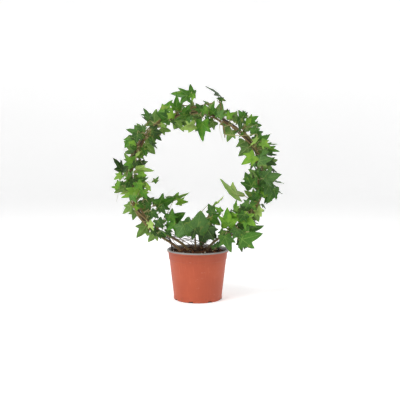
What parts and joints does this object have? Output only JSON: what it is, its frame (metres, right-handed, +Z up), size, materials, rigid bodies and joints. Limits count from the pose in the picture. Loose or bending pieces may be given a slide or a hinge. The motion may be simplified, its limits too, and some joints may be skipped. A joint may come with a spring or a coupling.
{
  "type": "potted ivy on a hoop",
  "caption": "Live ivy in a terracotta-coloured plastic nursery pot, its leafy shoots wound round an upright wire hoop.",
  "frame": {"origin": "middle of the pot's flat base, on the surface the pot stands on", "axes": "+Z up, +X to the viewer's right across the ring, +Y away from the viewer, through the ring"},
  "size_m": [0.3359, 0.1279, 0.4153],
  "materials": {
    "pot_plastic": "matte moulded plastic, terracotta outside and grey inside",
    "potting_soil": "rough fibrous potting mix",
    "coated_wire": "satin plastic-coated wire",
    "ivy_shoot": "living stems, stalks and leaves",
    "ivy_leaf": "smooth leathery leaf with pale veins"
  },
  "bodies": {
    "root": {"pot": "pot_plastic", "soil": "potting_soil", "hoop": "coated_wire", "left_shoot_1": "ivy_shoot", "left_shoot_2": "ivy_shoot", "left_shoot_3": "ivy_shoot", "left_shoot_4": "ivy_shoot", "right_shoot_1": "ivy_shoot", "right_shoot_2": "ivy_shoot", "right_shoot_3": "ivy_shoot", "right_shoot_4": "ivy_shoot", "low_shoot_1": "ivy_shoot", "low_shoot_2": "ivy_shoot", "low_shoot_3": "ivy_shoot", "leaf_01": "ivy_leaf", "leaf_02": "ivy_leaf", "leaf_03": "ivy_leaf", "leaf_04": "ivy_leaf", "leaf_05": "ivy_leaf", "leaf_06": "ivy_leaf", "leaf_07": "ivy_leaf", "leaf_08": "ivy_leaf", "leaf_09": "ivy_leaf", "leaf_10": "ivy_leaf", "leaf_11": "ivy_leaf", "leaf_12": "ivy_leaf", "leaf_13": "ivy_leaf", "leaf_14": "ivy_leaf", "leaf_15": "ivy_leaf", "leaf_16": "ivy_leaf", "leaf_17": "ivy_leaf", "leaf_18": "ivy_leaf", "leaf_19": "ivy_leaf", "leaf_20": "ivy_leaf", "leaf_21": "ivy_leaf", "leaf_22": "ivy_leaf", "leaf_23": "ivy_leaf", "leaf_24": "ivy_leaf", "leaf_25": "ivy_leaf", "leaf_26": "ivy_leaf", "leaf_27": "ivy_leaf", "leaf_28": "ivy_leaf", "leaf_29": "ivy_leaf", "leaf_30": "ivy_leaf", "leaf_31": "ivy_leaf", "leaf_32": "ivy_leaf", "leaf_33": "ivy_leaf", "leaf_34": "ivy_leaf", "leaf_35": "ivy_leaf", "leaf_36": "ivy_leaf", "leaf_37": "ivy_leaf", "leaf_38": "ivy_leaf", "leaf_39": "ivy_leaf", "leaf_40": "ivy_leaf", "leaf_41": "ivy_leaf", "leaf_42": "ivy_leaf", "leaf_43": "ivy_leaf", "leaf_44": "ivy_leaf"}
  },
  "joints": []
}
